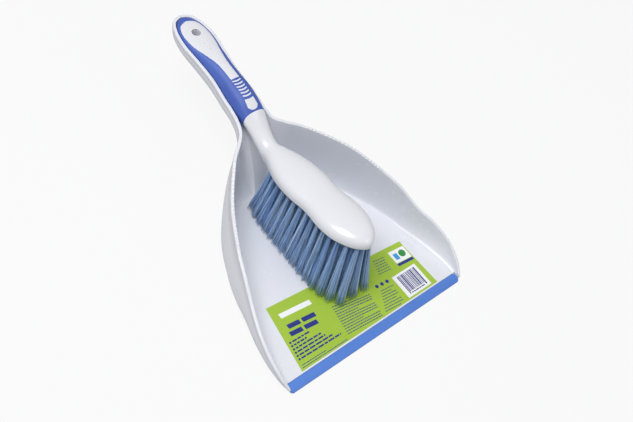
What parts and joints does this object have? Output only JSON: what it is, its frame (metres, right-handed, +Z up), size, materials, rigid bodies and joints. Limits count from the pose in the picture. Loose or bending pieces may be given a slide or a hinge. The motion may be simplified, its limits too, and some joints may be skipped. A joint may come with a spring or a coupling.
{
  "type": "dust pan and brush set",
  "caption": "Handheld dustpan with high curved walls, soft lip and trough handle, with a domed bristle brush nested in it that lifts out.",
  "frame": {"origin": "on the ground under the middle of the whole set's box", "axes": "+Z up, +Y toward the handle's tip, -Y toward the lip, +X to the right looking from lip to handle"},
  "size_m": [0.2376, 0.346, 0.0939],
  "materials": {
    "pan_plastic": "satin white polypropylene",
    "brush_plastic": "glossy white polypropylene",
    "soft_grip": "satin soft-touch",
    "lip_rubber": "satin",
    "label": "printed film",
    "bristle": "crimped filament",
    "anchor_wire": "plain"
  },
  "bodies": {
    "pan": {"dustpan_body": "pan_plastic", "lip_strip": "lip_rubber", "floor_label": "label"},
    "brush": {"brush_stock": "brush_plastic", "brush_grip": "soft_grip", "tuft_anchors": "anchor_wire", "tuft_rank_01": "bristle", "tuft_rank_02": "bristle", "tuft_rank_03": "bristle", "tuft_rank_04": "bristle", "tuft_rank_05": "bristle", "tuft_rank_06": "bristle", "tuft_rank_07": "bristle", "tuft_rank_08": "bristle", "tuft_rank_09": "bristle", "tuft_rank_10": "bristle", "tuft_rank_11": "bristle", "tuft_rank_12": "bristle", "tuft_rank_13": "bristle", "tuft_rank_14": "bristle", "tuft_rank_15": "bristle"}
  },
  "joints": [
    {"name": "brush_lift", "type": "slide", "parent": "pan", "child": "brush", "axis": [0, 0, 1], "range_m": [0, 0.12]}
  ]
}
